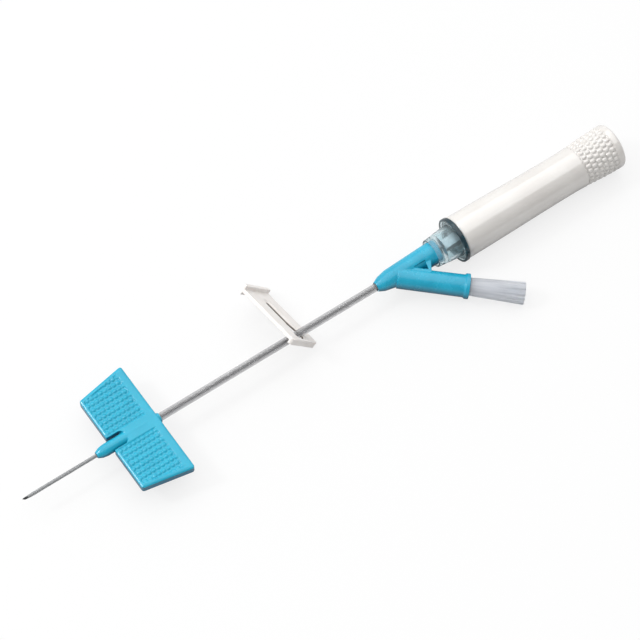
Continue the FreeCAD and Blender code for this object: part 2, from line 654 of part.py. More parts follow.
def make_clip():
    """Spring steel clip in the shield that closes over the point when the needle is drawn back."""
    body = new_body("shield_clip")
    lean = "(clip_root - clip_pinch) / (clip_length - clip_strip)"
    strip = f"(clip_strip * sqrt(1 + ({lean})^2))"
    section = new_sketch(body, "strip_section", "XZ_Plane")
    base = "(clip_length - clip_strip)"
    lip_top = "(clip_pinch + clip_lip)"
    draw_outline(section, [
        ("clip_length", f"clip_root + {strip}"), ("0", f"clip_pinch + {strip}"),
        ("0", lip_top), ("-clip_strip", lip_top), ("-clip_strip", "clip_pinch"), ("0", "clip_pinch"),
        (base, "clip_root"), (base, "-clip_root"), ("0", "-clip_pinch"), ("-clip_strip", "-clip_pinch"),
        ("-clip_strip", f"-{lip_top}"), ("0", f"-{lip_top}"), ("0", f"-(clip_pinch + {strip})"),
        ("clip_length", f"-(clip_root + {strip})"),
    ])
    extruded(body, "bent_strip", section, "clip_width", midplane=True)
    eye = draw_circle(new_sketch(body, "eye_plan", "YZ_Plane"), "0", "0", "clip_eye")
    eye.setExpression("AttachmentOffset.Base.z", bound("clip_length / 2"))
    extruded(body, "eye", eye, "clip_length", kind="Pocket", backwards=True)
    return on_axis(body, f"{CROSS_WALL} + shield_web + clip_set_back + clip_strip")


def soft_slope(x_start, r_start, x_end, r_end, steps):
    """Corners of a slope that starts and ends level, as half a cosine wave in short cones."""
    corners = []
    for step in range(steps + 1):
        share = f"(1 - cos(180 * {step} / {steps})) / 2"
        corners.append((f"{x_start} + ({x_end} - {x_start}) * {step} / {steps}",
                        f"{r_start} + ({r_end} - {r_start}) * {share}"))
    return corners


def quarter_round(x_end, r_side, radius, steps):
    """Corners of a rounded rim, from a side at one radius round to an end face, in short cones."""
    corners = []
    for step in range(steps + 1):
        turn = f"(90 * {step} / {steps})"
        corners.append((f"{x_end} - {radius} * (1 - sin({turn}))",
                        f"{r_side} - {radius} * (1 - cos({turn}))"))
    return corners


def make_barrel():
    """White barrel that the user holds: slightly waisted, wider and rounded at its closed end."""
    body = new_body("outer_barrel")
    mouth_radius = "barrel_mouth_diameter / 2"
    waist_radius = "barrel_waist_diameter / 2"
    end_radius = "barrel_end_diameter / 2"
    inner_end = "(barrel_length - barrel_end_wall)"
    widest = "(barrel_length - barrel_tail)"
    swept_in = soft_slope("barrel_lip", mouth_radius, "barrel_waist", waist_radius, 2)
    swept_out = soft_slope("barrel_waist", waist_radius, widest, end_radius, 2)
    end_rim = quarter_round("barrel_length", end_radius, "barrel_end_radius", 3)
    turned(body, "barrel_wall", swept_in + swept_out[1:] + end_rim + [
        ("barrel_length", "0"), (inner_end, "0"),
        (inner_end, "barrel_bore / 2"), ("0", "barrel_bore / 2"), ("0", f"{mouth_radius} - barrel_lip"),
    ])
    return on_axis(body, BARREL_MOUTH)


def make_anchor():
    """Needle's hub: it holds the needle and is pressed into the barrel."""
    body = new_body("needle_anchor")
    hole = "needle_diameter / 2 + bond_gap"
    rim = "(anchor_length - anchor_rim)"
    turned(body, "anchor_body", [
        ("0", hole), ("0", "anchor_nose_diameter / 2"), ("anchor_nose", "anchor_neck_diameter / 2"),
        (rim, "anchor_neck_diameter / 2"), (rim, "barrel_bore / 2 - bond_gap"),
        ("anchor_length", "barrel_bore / 2 - bond_gap"), ("anchor_length", hole),
    ])
    return on_axis(body, f"{BARREL_MOUTH} + anchor_station")


adapter = make_adapter()
plug = make_plug(adapter)
pieces = [
    make_needle(), make_catheter(), make_wedge(), make_hub(), make_tube(), make_clamp(), adapter,
    make_septum(), plug, make_filter(plug), make_shield(), make_clip(), make_barrel(), make_anchor(),
]
doc.recompute()

for item in doc.Objects:
    if "Invalid" in item.State or "Error" in item.State:
        raise RuntimeError(f"{item.Label} failed: {item.State}")

os.makedirs("parts", exist_ok=True)
for piece in pieces:
    shape = piece.Shape
    if shape.isNull() or not shape.isValid() or len(shape.Solids) != 1:
        raise RuntimeError(f"{piece.Label} is not one valid solid")
    box = shape.BoundBox
    print(f"{piece.Label}: {shape.Volume:.2f} mm3, x {box.XMin:.2f} to {box.XMax:.2f}, "
          f"y {box.YMin:.2f} to {box.YMax:.2f}, z {box.ZMin:.2f} to {box.ZMax:.2f}")
    shape.exportStep(f"parts/{piece.Label}.step")
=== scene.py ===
import math

import bmesh
import bpy
import numpy as np
from mathutils import Matrix, Vector


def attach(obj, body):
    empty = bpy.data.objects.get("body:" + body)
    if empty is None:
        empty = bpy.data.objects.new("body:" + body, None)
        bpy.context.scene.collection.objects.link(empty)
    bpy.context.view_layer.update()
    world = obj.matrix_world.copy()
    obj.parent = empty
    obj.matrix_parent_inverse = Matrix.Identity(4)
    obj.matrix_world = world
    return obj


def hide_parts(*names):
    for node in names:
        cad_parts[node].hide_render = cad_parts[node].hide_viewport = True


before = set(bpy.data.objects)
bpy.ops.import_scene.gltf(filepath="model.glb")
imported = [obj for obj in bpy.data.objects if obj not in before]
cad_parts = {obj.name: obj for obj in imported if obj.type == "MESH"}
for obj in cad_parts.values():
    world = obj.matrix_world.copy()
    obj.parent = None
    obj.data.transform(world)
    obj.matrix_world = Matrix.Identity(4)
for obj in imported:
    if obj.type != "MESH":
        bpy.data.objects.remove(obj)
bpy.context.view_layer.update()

MM = 0.001

# As packed: stations along the needle's axis and other lengths, and angles in degrees.
NEEDLE_TIP = -20.4
CATHETER_TIP = -19.0
TUBE_ENDS = (9.42, 84.18)
ADAPTER_NOSE = 80.6
ARMS_MEET = 5.1
SIDE_ANGLE = 40.0
ADAPTER_ROLL = 8.7
SIDE_ARM = 18.8
CLAMP_STATION = 57.3
CLAMP_YAW = 6.4
CLAMP_LEAN = 55.0
SHIELD_FRONT = 97.2
BARREL_MOUTH = 104.9
BARREL_LIP = 0.3
NEEDLE_REAR = 136.5
TABLE = -6.0

# The station that the lamps face.
SET_MIDDLE = 70.0


# Materials

def shade(hex_code):
    """A colour as the eye reads it, written #RRGGBB, as the linear values that shaders take."""
    channels = [int(hex_code[place:place + 2], 16) / 255 for place in (1, 3, 5)]
    return [c / 12.92 if c <= 0.04045 else ((c + 0.055) / 1.055) ** 2.4 for c in channels] + [1.0]


def add(tree, kind, inputs=None, **settings):
    """A node with its settings: an input given a socket is linked to it, any other is set."""
    made = tree.nodes.new(kind)
    for name, setting in settings.items():
        setattr(made, name, setting)
    for name, given in (inputs or {}).items():
        if isinstance(given, bpy.types.NodeSocket):
            tree.links.new(given, made.inputs[name])
        else:
            made.inputs[name].default_value = given
    return made


def new_material(name):
    """An empty node material and its tree."""
    material = bpy.data.materials.new(name)
    material.use_nodes = True
    material.node_tree.nodes.clear()
    return material, material.node_tree


def finished(tree, **sockets):
    """The surface shader with its sockets, wired to the output."""
    names = {}
    for key, given in sockets.items():
        names[key.replace("_", " ").title().replace("Ior", "IOR")] = given
    surface = add(tree, "ShaderNodeBsdfPrincipled", names)
    add(tree, "ShaderNodeOutputMaterial", {"Surface": surface.outputs[0]})


def place_in_mm(tree):
    """Where a point lies on its own piece, in millimetres, so that a pattern's scale is 1 / its size."""
    where = add(tree, "ShaderNodeTexCoord")
    grown = add(tree, "ShaderNodeVectorMath", {0: where.outputs["Object"], "Scale": 1 / MM},
                operation="SCALE")
    return grown.outputs[0]


def lathe_place(tree, around, along):
    """Where a point lies on a turned piece, round it and along it, each stretched by its factor."""
    where = add(tree, "ShaderNodeUVMap", uv_map="turned")
    scaled = add(tree, "ShaderNodeVectorMath", {0: where.outputs[0], 1: (around, along, 1.0)},
                 operation="MULTIPLY")
    return scaled.outputs[0]


def mottled(tree, place, size, dark, light):
    """Colour that drifts between two tones over patches of a size."""
    noise = add(tree, "ShaderNodeTexNoise", {"Vector": place, "Scale": 1 / size, "Detail": 3.0})
    tones = add(tree, "ShaderNodeValToRGB", {"Fac": noise.outputs["Fac"]})
    stops = zip(tones.color_ramp.elements, (0.35, 0.65), (dark, light))
    for stop, position, tone in stops:
        stop.position = position
        stop.color = shade(tone)
    return tones.outputs["Color"]


def shaded_by_facing(tree, colour, painted_shade_colour):
    """A colour painted darker on sides and undersides, by which way the surface faces: painted shade."""
    tops, sides = 0.5, -0.1
    where = add(tree, "ShaderNodeTexCoord")
    facing = add(tree, "ShaderNodeSeparateXYZ", {0: where.outputs["Normal"]})
    # The share of painted shade rises as the surface turns from facing up to facing sideways and down.
    share = add(tree, "ShaderNodeMapRange", {"Value": facing.outputs["Z"], "From Min": tops,
                                             "From Max": sides, "To Min": 0.0, "To Max": 1.0})
    # Inputs 6 and 7 and output 2 are this node's colours.
    mixed = add(tree, "ShaderNodeMix", {0: share.outputs["Result"], 6: colour, 7: shade(painted_shade_colour)},
                data_type="RGBA")
    return mixed.outputs[2]


def drifting(tree, place, size, low, high):
    """A number that drifts between two values over patches of a size."""
    noise = add(tree, "ShaderNodeTexNoise", {"Vector": place, "Scale": 1 / size, "Detail": 2.0})
    spread = add(tree, "ShaderNodeMapRange", {"Value": noise.outputs["Fac"], "From Min": 0.3,
                                              "From Max": 0.7, "To Min": low, "To Max": high})
    return spread.outputs["Result"]


def grained(tree, place, size, depth):
    """The fine grain of a mould's wall: bumps of a size and a depth in millimetres."""
    noise = add(tree, "ShaderNodeTexNoise", {"Vector": place, "Scale": 1 / size, "Detail": 2.0})
    bump = add(tree, "ShaderNodeBump", {"Height": noise.outputs["Fac"], "Distance": depth * MM,
                                        "Strength": 1.0})
    return bump.outputs["Normal"]


def soft_pvc_blue():
    """Plasticised PVC, moulded and finely eroded: even blue with a soft sheen, with painted shade on its
    sides and undersides.

    The eroded grain is finer than 0.1 mm and is drawn a little coarser, so that it shows.
    """
    material, tree = new_material("soft_pvc_blue")
    place = place_in_mm(tree)
    blue = mottled(tree, place, 5.0, "#18A3C1", "#1DAAC8")
    finished(
        # The sides and undersides are painted darker towards #005878: painted shade.
        tree, base_color=shaded_by_facing(tree, blue, "#005878"),
        roughness=drifting(tree, place, 1.6, 0.18, 0.24), ior=1.53,
        normal=grained(tree, place, 0.12, 0.003),
        subsurface_weight=0.12, subsurface_radius=(0.0004, 0.0010, 0.0014), subsurface_scale=0.6,
    )
    return material


def hard_blue():
    """Polycarbonate moulded in a fine tool: the same blue, smooth and without grain, evenly glossy."""
    material, tree = new_material("moulded_polycarbonate_blue")
    place = place_in_mm(tree)
    blue = mottled(tree, place, 4.0, "#129DBD", "#1AA8C8")
    finished(
        # The sides and undersides are painted darker towards #04607B: painted shade.
        tree, base_color=shaded_by_facing(tree, blue, "#04607B"),
        roughness=drifting(tree, place, 2.0, 0.2, 0.3), ior=1.58,
        subsurface_weight=0.06, subsurface_radius=(0.0003, 0.0008, 0.0012), subsurface_scale=0.5,
    )
    return material


def drawn_steel():
    """Stainless hypodermic tube, drawn: dark grey metal with fine lines along it.

    The lines left by the die are finer than 0.05 mm and are drawn 0.2 mm wide, so that they show.
    """
    material, tree = new_material("drawn_stainless_steel")
    lines = lathe_place(tree, 1.0, 0.02)
    finished(
        tree, base_color=mottled(tree, lines, 0.2, "#505153", "#666769"), metallic=1.0,
        roughness=drifting(tree, lines, 0.2, 0.28, 0.36),
    )
    return material


def spring_steel():
    """Bent spring strip and turned funnel: bright rolled stainless steel."""
    material, tree = new_material("rolled_spring_steel")
    place = place_in_mm(tree)
    finished(
        tree, base_color=mottled(tree, place, 0.8, "#B4B6B9", "#CACCCF"), metallic=1.0,
        roughness=drifting(tree, place, 0.5, 0.34, 0.48), normal=grained(tree, place, 0.1, 0.002),
    )
    return material


def catheter_polymer():
    """Extruded polyurethane, clear with a milky cast: the steel inside shows through as grey."""
    material, tree = new_material("extruded_polyurethane")
    place = lathe_place(tree, 1.0, 0.1)
    finished(
        tree, base_color=mottled(tree, place, 0.8, "#C0C2C4", "#CCCECF"),
        roughness=drifting(tree, place, 0.8, 0.2, 0.3), ior=1.5, transmission_weight=0.6,
    )
    return material


def clear_tubing():
    """Extruded clear PVC tube: smooth grey-white walls, with the steel as a dark line inside.

    Its index is below the real 1.53: at the real one, so thin a tube breaks the studio into specks.
    """
    material, tree = new_material("extruded_clear_pvc")
    place = lathe_place(tree, 1.0, 0.05)
    finished(
        tree, base_color=mottled(tree, place, 1.5, "#CDCDCE", "#D8D8D9"),
        roughness=drifting(tree, place, 1.5, 0.1, 0.14), ior=1.12, transmission_weight=0.8,
    )
    return material


def clamp_plastic():
    """Polypropylene moulding: warm white, waxy satin, slightly see-through in thin edges."""
    material, tree = new_material("moulded_white_polypropylene")
    place = place_in_mm(tree)
    finished(
        tree, base_color=mottled(tree, place, 3.0, "#EEE9E5", "#F3EFEC"),
        roughness=drifting(tree, place, 1.5, 0.34, 0.46), ior=1.49,
        normal=grained(tree, place, 0.2, 0.005),
        subsurface_weight=0.2, subsurface_radius=(0.0012, 0.0011, 0.0010), subsurface_scale=0.7,
    )
    return material


def painted_slot_shade():
    """The clamp's slot wall: the same plastic painted dark, as painted shade inside the slot."""
    material, tree = new_material("polypropylene_painted_shade")
    place = place_in_mm(tree)
    finished(
        tree, base_color=mottled(tree, place, 1.0, "#70665F", "#847A72"),
        roughness=drifting(tree, place, 1.0, 0.4, 0.5), ior=1.49,
    )
    return material


def frosted_plug():
    """Natural polyethylene with a matt finish: milky, lit from within, streaked along its length."""
    material, tree = new_material("frosted_polyethylene")
    streaks = lathe_place(tree, 1.0, 0.06)
    finished(
        tree, base_color=mottled(tree, streaks, 0.45, "#D6DAE0", "#ECEEF3"),
        roughness=drifting(tree, streaks, 0.6, 0.42, 0.58), ior=1.51, transmission_weight=0.55,
        normal=grained(tree, streaks, 0.25, 0.012),
        subsurface_weight=0.25, subsurface_radius=(0.0015, 0.0015, 0.0016), subsurface_scale=0.8,
    )
    return material


def clear_polycarbonate():
    """Polycarbonate moulded clear: pale walls with a faint blue cast, what is inside showing through.

    Its index is below the real 1.58: at the real one, walls inside walls go dark and hide the rest.
    """
    material, tree = new_material("moulded_clear_polycarbonate")
    place = place_in_mm(tree)
    finished(
        tree, base_color=mottled(tree, place, 4.0, "#D9ECF1", "#E6F3F6"),
        roughness=drifting(tree, place, 2.5, 0.12, 0.18), ior=1.23, transmission_weight=0.9,
    )
    return material


def rim_shade_polycarbonate():
    """The shield's thick rim: the same plastic with a faint teal cast, painted near-black teal as
    painted shade of the gap behind it.
    """
    material, tree = new_material("polycarbonate_rim_painted_shade")
    place = place_in_mm(tree)
    finished(
        tree, base_color=mottled(tree, place, 3.0, "#04212B", "#0B3A46"),
        roughness=drifting(tree, place, 1.5, 0.08, 0.14), ior=1.58, transmission_weight=0.3,
    )
    return material


def barrel_plastic():
    """Polystyrene moulded white: warm and polished, with the slow waviness of a thick wall.

    The coat is the skin that a polished mould leaves, which draws the edge of the light.
    """
    material, tree = new_material("moulded_white_polystyrene")
    place = place_in_mm(tree)
    finished(
        tree, base_color=mottled(tree, place, 9.0, "#D9D5D1", "#DEDBD7"),
        roughness=drifting(tree, place, 4.0, 0.1, 0.15), ior=1.59, specular_ior_level=0.9,
        coat_weight=0.8, coat_roughness=0.06, coat_ior=1.6,
        normal=grained(tree, place, 5.0, 0.012),
        subsurface_weight=0.12, subsurface_radius=(0.0014, 0.0013, 0.0012), subsurface_scale=0.6,
    )
    return material


def seal_rubber():
    """Moulded isoprene rubber: tan, matt, with a dusting of powder."""
    material, tree = new_material("moulded_isoprene_rubber")
    place = place_in_mm(tree)
    finished(
        tree, base_color=mottled(tree, place, 0.5, "#B39B7E", "#C7B194"),
        roughness=drifting(tree, place, 0.4, 0.7, 0.85), ior=1.52,
        normal=grained(tree, place, 0.15, 0.01),
    )
    return material


def sintered_disc():
    """Sintered polyethylene: white, chalky and pitted with pores."""
    material, tree = new_material("sintered_polyethylene")
    place = place_in_mm(tree)
    finished(
        tree, base_color=mottled(tree, place, 0.2, "#DADAD6", "#F4F4F1"),
        roughness=drifting(tree, place, 0.3, 0.75, 0.95), ior=1.5,
        normal=grained(tree, place, 0.12, 0.03),
    )
    return material


def anchor_plastic():
    """The needle's hub: natural polypropylene, off-white and satin."""
    material, tree = new_material("natural_polypropylene")
    place = place_in_mm(tree)
    finished(
        tree, base_color=mottled(tree, place, 1.5, "#D5D6D4", "#E4E5E2"),
        roughness=drifting(tree, place, 1.0, 0.35, 0.5), ior=1.49,
        normal=grained(tree, place, 0.3, 0.006), subsurface_weight=0.2,
        subsurface_radius=(0.001, 0.001, 0.001), subsurface_scale=0.6,
    )
    return material


# Shapes

def new_piece(name, mesh, materials, body, node):
    """A mesh in metres as a piece of the set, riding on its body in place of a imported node."""
    piece = bpy.data.objects.new(name, mesh)
    bpy.context.scene.collection.objects.link(piece)
    for material in materials:
        mesh.materials.append(material)
    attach(piece, body)
    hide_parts(node)
    return piece


def eased(corners, steps=6):
    """A closed outline from (x, r, radius) corners, each rounded by its radius in short runs."""
    most = 0.48
    outline = []
    for place, (x, r, radius) in enumerate(corners):
        here = Vector((x, r))
        before = Vector(corners[place - 1][:2]) - here
        after = Vector(corners[(place + 1) % len(corners)][:2]) - here
        if radius == 0:
            outline.append((x, r))
            continue
        half = before.angle(after) / 2
        reach = min(radius / math.tan(half), most * before.length, most * after.length)
        start = here + before.normalized() * reach
        end = here + after.normalized() * reach
        for step in range(steps + 1):
            share = step / steps
            point = start * (1 - share) ** 2 + here * 2 * share * (1 - share) + end * share ** 2
            outline.append((point.x, point.y))
    return outline


def turned(name, outline, segments, radius_at=None, place=None, sharp=35.0):
    """A closed outline of (x, r) turned about the X axis, moved to its place, as a mesh in metres.

    radius_at(x, r, angle) gives each point's own radius, for flutes and pebbles.
    """
    angles = np.arange(segments) * 2 * math.pi / segments
    stations = np.array([point[0] for point in outline])
    radii = np.array([point[1] for point in outline])
    rings = len(outline)
    reach = np.repeat(radii[:, None], segments, axis=1)
    if radius_at is not None:
        reach = radius_at(stations[:, None], reach, angles[None, :])
    points = np.stack([np.repeat(stations[:, None], segments, axis=1), reach * np.cos(angles),
                       reach * np.sin(angles)], axis=-1).reshape(-1, 3)
    shape = bmesh.new()
    corners = [shape.verts.new(point) for point in points]
    chart = shape.loops.layers.uv.new("turned")
    travelled = np.concatenate([[0], np.cumsum(np.hypot(np.diff(stations), np.diff(radii)))])
    girth = 2 * math.pi * float(radii.max()) / segments
    for ring in range(rings):
        after = (ring + 1) % rings
        along = (travelled[ring], travelled[ring] + math.hypot(
            stations[after] - stations[ring], radii[after] - radii[ring]))
        for segment in range(segments):
            beside = (segment + 1) % segments
            face = shape.faces.new((
                corners[ring * segments + segment], corners[after * segments + segment],
                corners[after * segments + beside], corners[ring * segments + beside],
            ))
            spots = ((segment, 0), (segment, 1), (segment + 1, 1), (segment + 1, 0))
            for loop, (around, end) in zip(face.loops, spots):
                loop[chart].uv = (around * girth, along[end])
    bmesh.ops.remove_doubles(shape, verts=shape.verts, dist=1e-5)
    bmesh.ops.recalc_face_normals(shape, faces=shape.faces)
    return closed(name, shape, place, sharp)


def closed(name, shape, place=None, sharp=35.0):
    """A finished shape in millimetres as a smooth-shaded mesh in metres."""
    mesh = bpy.data.meshes.new(name)
    shape.to_mesh(mesh)
    shape.free()
    mesh.transform(Matrix.Scale(MM, 4) @ (place or Matrix.Identity(4)))
    mesh.shade_smooth()
    mesh.set_sharp_from_angle(angle=math.radians(sharp))
    return mesh


def softened(name, node, voxel, passes, lining=None):
    """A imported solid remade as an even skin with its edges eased, as plastic leaves a mould.

    A lining is a closed mesh that the skin takes in as well.
    """
    shape = bmesh.new()
    shape.from_mesh(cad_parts[node].data)
    if lining is not None:
        shape.from_mesh(lining)
    bmesh.ops.scale(shape, vec=(1 / MM, 1 / MM, 1 / MM), verts=shape.verts)
    bmesh.ops.remove_doubles(shape, verts=shape.verts, dist=1e-3)
    source = bpy.data.meshes.new(name + "_source")
    shape.to_mesh(source)
    shape.free()
    worker = bpy.data.objects.new(name + "_worker", source)
    bpy.context.scene.collection.objects.link(worker)
    skin = worker.modifiers.new("skin", "REMESH")
    skin.mode = "VOXEL"
    skin.voxel_size = voxel
    ease = worker.modifiers.new("ease", "SMOOTH")
    ease.factor = 0.5
    ease.iterations = passes
    graph = bpy.context.evaluated_depsgraph_get()
    mesh = bpy.data.meshes.new_from_object(worker.evaluated_get(graph))
    mesh.name = name
    bpy.data.objects.remove(worker)
    bpy.data.meshes.remove(source)
    return mesh


def points_of(mesh):
    """A mesh's points as an array."""
    points = np.empty(len(mesh.vertices) * 3)
    mesh.vertices.foreach_get("co", points)
    return points.reshape(-1, 3)


def upward_of(mesh):
    """How far the surface faces up at each of a mesh's points, one where it is level."""
    normals = np.empty(len(mesh.vertices) * 3)
    mesh.vertex_normals.foreach_get("vector", normals)
    return normals.reshape(-1, 3)[:, 2]


def settled(mesh, points):
    """The mesh with its points moved there, from millimetres to metres, and smooth shaded."""
    mesh.vertices.foreach_set("co", (points * MM).ravel())
    mesh.update()
    mesh.shade_smooth()
    return mesh


def ramp(value, low, high):
    """Nought below low, one above high and a smooth rise between."""
    share = np.clip((value - low) / (high - low), 0, 1)
    return share * share * (3 - 2 * share)


def pebbles(across, along, pitch_across, pitch_along, width=0.5, length=0.5):
    """Height, nought to one, of round-topped pebbles in staggered rows.

    width and length are half of what a pebble takes up of each pitch.
    """
    row = np.round(across / pitch_across)
    off = across / pitch_across - row
    step = along / pitch_along + 0.5 * (row % 2)
    beside = step - np.round(step)
    distance = np.hypot(off / width, beside / length)
    return np.sqrt(np.clip(1 - distance ** 2, 0, 1))


def make_needle():
    """Steel tube whose front is ground to a lancet: a long slope and two side grinds at the point."""
    outer, bore, slope, side_grind = 0.31, 0.19, 1.35, 1.45
    roll = math.radians(57.0)
    segments = 64
    front_end, run = 4.0, 8.0
    stations = [0.0, front_end / 2, front_end]
    stations += [front_end + run * step for step in range(1, 19)]
    stations.append(NEEDLE_REAR - NEEDLE_TIP)
    shape = bmesh.new()
    chart = shape.loops.layers.uv.new("turned")
    loops = []
    for radius, order in ((outer, stations), (bore, stations[::-1])):
        for station in order:
            ring = []
            for segment in range(segments):
                angle = 2 * math.pi * segment / segments
                off, aside = -radius * math.cos(angle), radius * math.sin(angle)
                front = max(slope * (off + outer) / (2 * outer), side_grind * abs(aside))
                x = max(station, front)
                ring.append(shape.verts.new((
                    NEEDLE_TIP + x, -off * math.sin(roll) + aside * math.cos(roll),
                    off * math.cos(roll) + aside * math.sin(roll))))
            loops.append(ring)
    for place, ring in enumerate(loops):
        after = loops[(place + 1) % len(loops)]
        for segment in range(segments):
            beside = (segment + 1) % segments
            face = shape.faces.new((ring[segment], after[segment], after[beside], ring[beside]))
            for loop in face.loops:
                turn = segment if loop.vert in (ring[segment], after[segment]) else segment + 1
                loop[chart].uv = (2 * math.pi * outer * turn / segments, loop.vert.co.x)
    bmesh.ops.recalc_face_normals(shape, faces=shape.faces)
    mesh = closed("steel_needle", shape, sharp=30.0)
    return new_piece("steel_needle", mesh, [drawn_steel()], "handle", "needle")


def make_catheter():
    """Soft sleeve over the needle, thinned at its tip and opened out over the steel wedge."""
    bore, outside, tip = 0.33, 0.45, 0.37
    flare_bore, flare = 0.68, 0.8
    thinned, flare_start, flare_full, rear = CATHETER_TIP + 1.2, 2.0, 3.6, 4.4
    outline = eased([
        (CATHETER_TIP, tip, 0.02), (thinned, outside, 1.0), (flare_start, outside, 0.4),
        (flare_full, flare, 0.3), (rear, flare, 0.05), (rear, flare_bore, 0.05),
        (flare_full, flare_bore, 0.3), (flare_start, bore, 0.4), (CATHETER_TIP, bore, 0.01),
    ])
    mesh = turned("catheter_sleeve", outline, 64)
    return new_piece("catheter_sleeve", mesh, [catheter_polymer()], "cannula",
                     "catheter_tube")


def make_tubing():
    """Clear extension tube with softly cut ends."""
    start, end = TUBE_ENDS
    outside, bore, cut = 1.0, 0.6, 0.05
    runs = 60
    between = [start + (end - start) * step / runs for step in range(1, runs)]
    corners = [(start, outside, cut), *((x, outside, 0) for x in between), (end, outside, cut),
               (end, bore, cut), *((x, bore, 0) for x in reversed(between)), (start, bore, cut)]
    mesh = turned("clear_tubing", eased(corners), 96)
    return new_piece("clear_tubing", mesh, [clear_tubing()], "cannula", "extension_tube")


def make_wings():
    """Winged hub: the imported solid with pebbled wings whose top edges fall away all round."""
    front, back, top = 4.0, 17.3, 1.5
    front_span, back_span = 27.8, 32.8
    across, along, pebble_depth = 1.43, 1.25, 0.32
    edge_width, edge_fall = 1.1, 0.5
    mesh = softened("winged_hub", "wing_hub", 0.13, 5)
    points = points_of(mesh)
    # Each of these is a view, so that a change to z moves the points.
    x, y, z = points.T
    off_axis = np.abs(y)
    half_span = (front_span + (back_span - front_span) * (x - front) / (back - front)) / 2
    field = (ramp(x, front + 0.6, front + 1.0) * (1 - ramp(x, back - 2.4, back - 1.9))
             * (1 - ramp(off_axis, half_span - 1.3, half_span - 0.9)) * ramp(off_axis, 1.9, 2.5)
             * (upward_of(mesh) > 0.8) * (z > top - 0.5))
    stones = pebbles(y, x, across, along, 0.36, 0.47)
    z += field * pebble_depth * (stones - 1)
    inward = np.minimum(np.minimum(x - front, back - x), half_span - off_axis)
    roll = np.sqrt(1 - (1 - np.clip(inward / edge_width, 0, 1)) ** 2)
    rolled = np.minimum(z, top - edge_fall * (1 - roll))
    beside_hub = ramp(off_axis, 2.2, 2.8) * (z > top - 0.6)
    z += beside_hub * (rolled - z)
    return new_piece("winged_hub", settled(mesh, points), [soft_pvc_blue()], "cannula",
                     "wing_hub")


def make_adapter():
    """Y adapter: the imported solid, its edges eased as moulded and its port walled off the pockets."""
    inner, outer, mouth = 1.95, 2.5, 2.04
    front, taper_start, rear = 9.6, 10.6, 14.2
    wall = [(front, inner), (taper_start, inner), (rear, mouth), (rear, outer), (front, outer)]
    lining = turned("port_lining", wall, 96, place=Matrix.Translation((ADAPTER_NOSE, 0, 0)))
    mesh = softened("port_adapter", "y_adapter", 0.12, 4, lining)
    bpy.data.meshes.remove(lining)
    return new_piece("port_adapter", settled(mesh, points_of(mesh)), [hard_blue()], "cannula",
                     "y_adapter")


def make_clamp():
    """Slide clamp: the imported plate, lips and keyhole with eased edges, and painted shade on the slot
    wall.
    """
    slot_half_width, slot_start, slot_end, slot_depth = 1.9, -1.9, 11.7, 0.26
    steep = 0.6
    mesh = softened("pinch_clamp", "slide_clamp", 0.1, 3)
    piece = new_piece("pinch_clamp", settled(mesh, points_of(mesh)), [clamp_plastic(), painted_slot_shade()],
                      "clamp", "slide_clamp")
    lean = (Matrix.Rotation(math.radians(CLAMP_YAW), 4, "Z")
            @ Matrix.Rotation(math.radians(CLAMP_LEAN), 4, "Y")).inverted()
    for face in mesh.polygons:
        spot = lean @ (face.center / MM - Vector((CLAMP_STATION, 0, 0)))
        in_slot = abs(spot.x) < slot_half_width and slot_start < spot.y < slot_end
        if in_slot and abs(spot.z) < slot_depth and (lean @ face.normal).z < steep:
            # Faces of the slot's wall are painted dark as painted shade.
            face.material_index = 1
    return piece


def side_port():
    """The side port's mouth, with X out of the port."""
    return (Matrix.Translation((ADAPTER_NOSE, 0, 0))
            @ Matrix.Rotation(math.radians(ADAPTER_ROLL), 4, "X")
            @ Matrix.Translation((ARMS_MEET, 0, 0))
            @ Matrix.Rotation(math.radians(-SIDE_ANGLE), 4, "Z")
            @ Matrix.Translation((SIDE_ARM, 0, 0)))


def make_plug():
    """Vent plug: taper, shoulder, and a hollow grip whose flutes deepen towards its end."""
    front, shoulder, length = -6.5, 0.25, 13.4
    rear = shoulder + length
    taper_tip, taper_root, neck, end = 1.915, 2.117, 2.23, 2.83
    vent, hollow, throat = 0.45, 1.2, 0.9
    filter_seat, end_wall = -3.1, 1.3
    runs = 40
    grip = [(shoulder + length * step / runs, neck + (end - neck) * step / runs, 0)
            for step in range(1, runs)]
    outline = eased([
        (front, throat, 0.1), (front, taper_tip, 0.2), (shoulder, taper_root, 0.05),
        (shoulder, neck, 0.12), *grip, (rear, end, 0.3), (rear, vent, 0.1),
        (rear - end_wall, vent, 0.1), (rear - end_wall, hollow, 0.3), (filter_seat, hollow, 0.2),
        (filter_seat, throat, 0.1),
    ])

    def fluted(x, reach, angle):
        flutes, first, cutter, skin = 12, 0.3, 0.45, 1.6
        spacing = 2 * math.pi / flutes
        turn = (angle - first * spacing + spacing / 2) % spacing - spacing / 2
        centre = end + 0.1
        inside = np.clip(cutter ** 2 - (centre * np.sin(turn)) ** 2, 0, None)
        floor = np.where(inside > 0, centre * np.cos(turn) - np.sqrt(inside), reach)
        outside = (x > shoulder + 0.2) & (reach > skin)
        return np.where(outside, np.minimum(reach, floor), reach)

    mesh = turned("vent_plug_body", outline, 240, radius_at=fluted, place=side_port())
    return new_piece("vent_plug_body", mesh, [frosted_plug()], "plug", "vent_plug")


